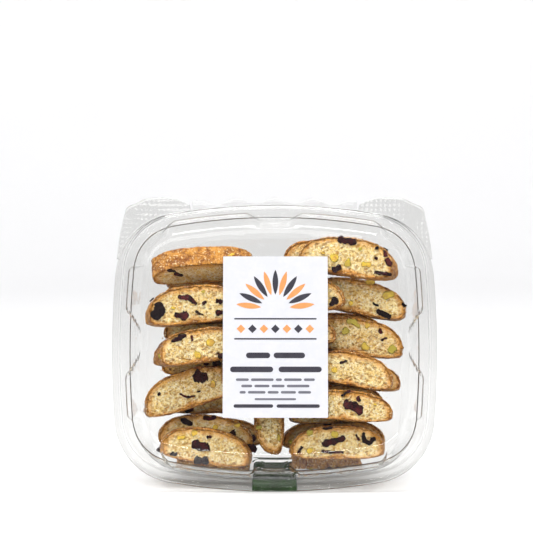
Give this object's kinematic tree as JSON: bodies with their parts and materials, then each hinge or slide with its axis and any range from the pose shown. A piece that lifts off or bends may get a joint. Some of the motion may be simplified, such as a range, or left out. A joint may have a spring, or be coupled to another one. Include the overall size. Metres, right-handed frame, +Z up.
{
  "type": "shut clear clamshell pack of biscotti",
  "caption": "Shut clear plastic clamshell full of sliced fruit and nut biscotti, standing on its lower edge, with a plain printed front label and a green seal.",
  "frame": {"origin": "bottom centre of the bounding box of the standing pack", "axes": "+X to the right seen from the front, +Y away from the viewer through the pack's depth, +Z up; the pack leans back 10 degrees"},
  "size_m": [0.184, 0.0744, 0.1642],
  "materials": {
    "clear_plastic": "clear thin formed plastic, glossy",
    "label_paper": "white satin coated paper label with plain printed shapes",
    "seal_paper": "dark green paper seal",
    "baked_biscotti": "golden baked crust and pale porous crumb with dark dried fruit and green nuts"
  },
  "bodies": {
    "root": {"base": "clear_plastic", "biscotti_left_1": "baked_biscotti", "biscotti_left_10": "baked_biscotti", "biscotti_left_11": "baked_biscotti", "biscotti_left_12": "baked_biscotti", "biscotti_left_13": "baked_biscotti", "biscotti_left_14": "baked_biscotti", "biscotti_left_15": "baked_biscotti", "biscotti_left_2": "baked_biscotti", "biscotti_left_3": "baked_biscotti", "biscotti_left_4": "baked_biscotti", "biscotti_left_5": "baked_biscotti", "biscotti_left_6": "baked_biscotti", "biscotti_left_7": "baked_biscotti", "biscotti_left_8": "baked_biscotti", "biscotti_left_9": "baked_biscotti", "biscotti_middle_1": "baked_biscotti", "biscotti_middle_2": "baked_biscotti", "biscotti_middle_3": "baked_biscotti", "biscotti_middle_4": "baked_biscotti", "biscotti_middle_5": "baked_biscotti", "biscotti_right_1": "baked_biscotti", "biscotti_right_10": "baked_biscotti", "biscotti_right_11": "baked_biscotti", "biscotti_right_12": "baked_biscotti", "biscotti_right_13": "baked_biscotti", "biscotti_right_14": "baked_biscotti", "biscotti_right_15": "baked_biscotti", "biscotti_right_16": "baked_biscotti", "biscotti_right_2": "baked_biscotti", "biscotti_right_3": "baked_biscotti", "biscotti_right_4": "baked_biscotti", "biscotti_right_5": "baked_biscotti", "biscotti_right_6": "baked_biscotti", "biscotti_right_7": "baked_biscotti", "biscotti_right_8": "baked_biscotti", "biscotti_right_9": "baked_biscotti", "label": "label_paper", "lid": "clear_plastic", "seal": "seal_paper", "tear_strip": "clear_plastic"}
  },
  "joints": []
}
